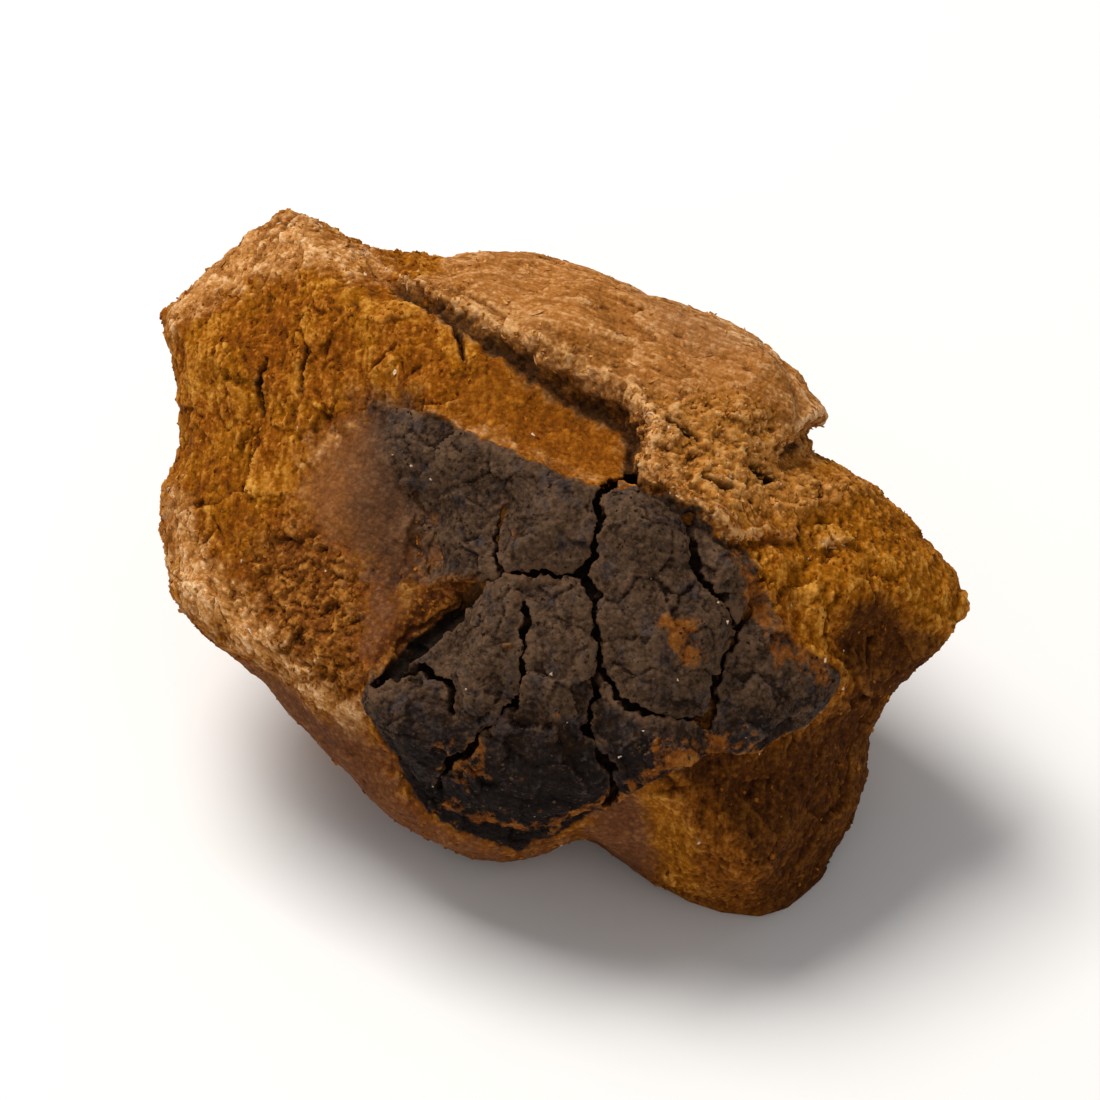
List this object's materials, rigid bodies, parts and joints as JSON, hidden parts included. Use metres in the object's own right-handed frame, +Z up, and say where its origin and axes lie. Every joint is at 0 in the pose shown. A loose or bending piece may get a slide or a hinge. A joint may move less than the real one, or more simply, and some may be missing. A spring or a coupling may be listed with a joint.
{
  "type": "chaga mushroom chunk",
  "caption": "Broken chunk of dried chaga fungus: rough golden-brown corky flesh with a pale ledge, under a domed black crust split into plates by deep cracks.",
  "frame": {"origin": "on the flat underside that the chunk rests on, straight below the middle of its outline", "axes": "+X along the chunk's longest side, to the right as seen from its crust side; -Y towards the viewer, out of the side that carries the crust; +Z up from the surface it rests on"},
  "size_m": [0.0536, 0.0447, 0.0347],
  "materials": {
    "corky_flesh": "matt, grainy and crumbly golden-brown, with a black-brown charcoal-like crust over one side"
  },
  "bodies": {
    "root": {"chaga_chunk": "corky_flesh"}
  },
  "joints": []
}
